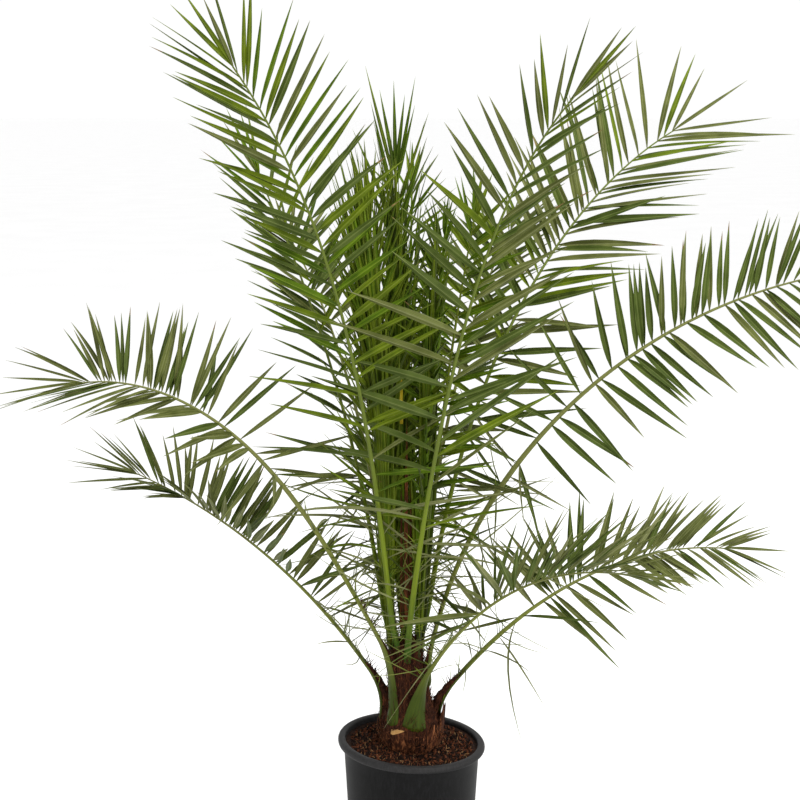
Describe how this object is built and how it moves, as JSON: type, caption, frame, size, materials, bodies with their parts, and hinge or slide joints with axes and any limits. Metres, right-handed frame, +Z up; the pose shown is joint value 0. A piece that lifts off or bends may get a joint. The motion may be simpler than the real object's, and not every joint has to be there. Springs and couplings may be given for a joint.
{
  "type": "canary island date palm",
  "caption": "Young potted feather palm: short fibrous stem, arching and upright fronds of narrow folded leaflets, and a round black nursery pot filled with soil.",
  "frame": {"origin": "centre of the pot's flat underside", "axes": "+Z up along the pot's axis; the picture looks along +Y with +X to its right"},
  "size_m": [1.7701, 1.2305, 1.7712],
  "materials": {
    "pot": "matte moulded plastic",
    "soil": "loose damp bark and peat crumbs",
    "trunk": "matted brown fibre",
    "old_leaf_base": "dry brown leaf base",
    "cut_stub": "pale dry cut",
    "leaf_low": "old leaf, deep green, satin",
    "leaf_arching": "full-grown leaf, green, satin",
    "leaf_tall": "full-grown leaf, fresh green, satin",
    "leaf_young": "young leaf, yellow-green, satin"
  },
  "bodies": {
    "root": {"pot": "pot", "soil": "soil", "trunk": "trunk", "cut_stub": "cut_stub", "old_leaf_base_1": "old_leaf_base", "old_leaf_base_2": "old_leaf_base", "old_leaf_base_3": "old_leaf_base", "old_leaf_base_4": "old_leaf_base", "old_leaf_base_5": "old_leaf_base", "old_leaf_base_6": "old_leaf_base", "old_leaf_base_7": "old_leaf_base", "old_leaf_base_8": "old_leaf_base", "spear": "leaf_young", "frond_tall_left": "leaf_tall", "frond_tall_front": "leaf_tall", "frond_tall_right": "leaf_tall", "frond_tall_rear": "leaf_tall", "frond_arch_left": "leaf_arching", "frond_arch_right": "leaf_arching", "frond_arch_rear_left": "leaf_arching", "frond_arch_rear_right": "leaf_arching", "frond_low_left": "leaf_low", "frond_low_front": "leaf_low", "frond_low_right": "leaf_low", "frond_low_rear": "leaf_low", "frond_young_rear": "leaf_young", "frond_young_left": "leaf_young", "frond_young_right": "leaf_young", "frond_young_front": "leaf_young"}
  },
  "joints": []
}
